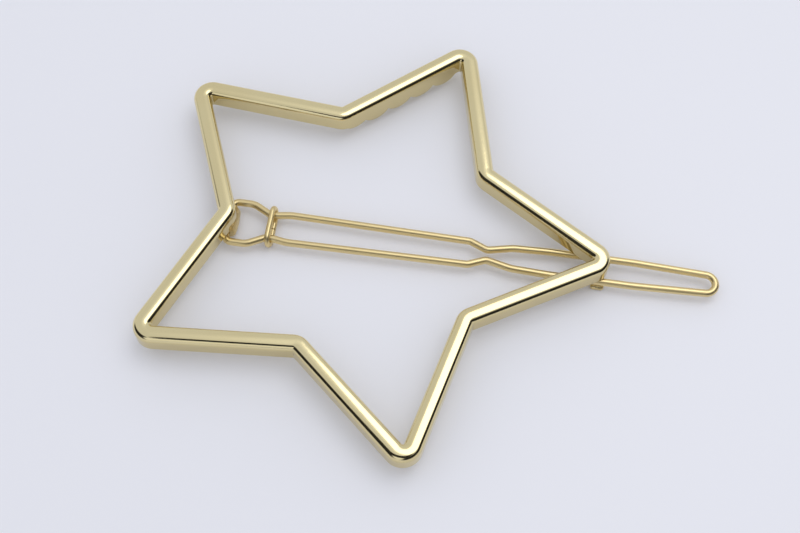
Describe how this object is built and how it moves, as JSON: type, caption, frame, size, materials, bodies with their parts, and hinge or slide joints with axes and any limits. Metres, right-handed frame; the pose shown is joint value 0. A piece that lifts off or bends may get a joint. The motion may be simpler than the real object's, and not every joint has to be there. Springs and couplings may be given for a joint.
{
  "type": "star hair clip",
  "caption": "Open star-shaped cast metal hair clip with a hinged wire clasp, a wire collar and a row of gripping teeth behind one arm.",
  "frame": {"origin": "centre of the star, on the plane of the frame's flat back", "axes": "+X from the hinge to the tip with the catch hook, +Z out of the front face, +Y across the clasp towards the arm with the teeth"},
  "size_m": [0.0749, 0.0628, 0.0049],
  "materials": {
    "frame_gold": "polished pale gold plating over a zinc alloy casting",
    "wire_gold": "polished gold plating over spring steel wire"
  },
  "bodies": {
    "clasp": {"wire_clasp": "wire_gold", "collar": "wire_gold"},
    "star": {"star_frame": "frame_gold"}
  },
  "joints": [
    {"name": "clasp_hinge", "type": "hinge", "parent": "clasp", "child": "star", "pos_m": [-0.0188, 0, -0.0007], "axis": [0, -1, 0], "range_deg": [0, 120]}
  ]
}
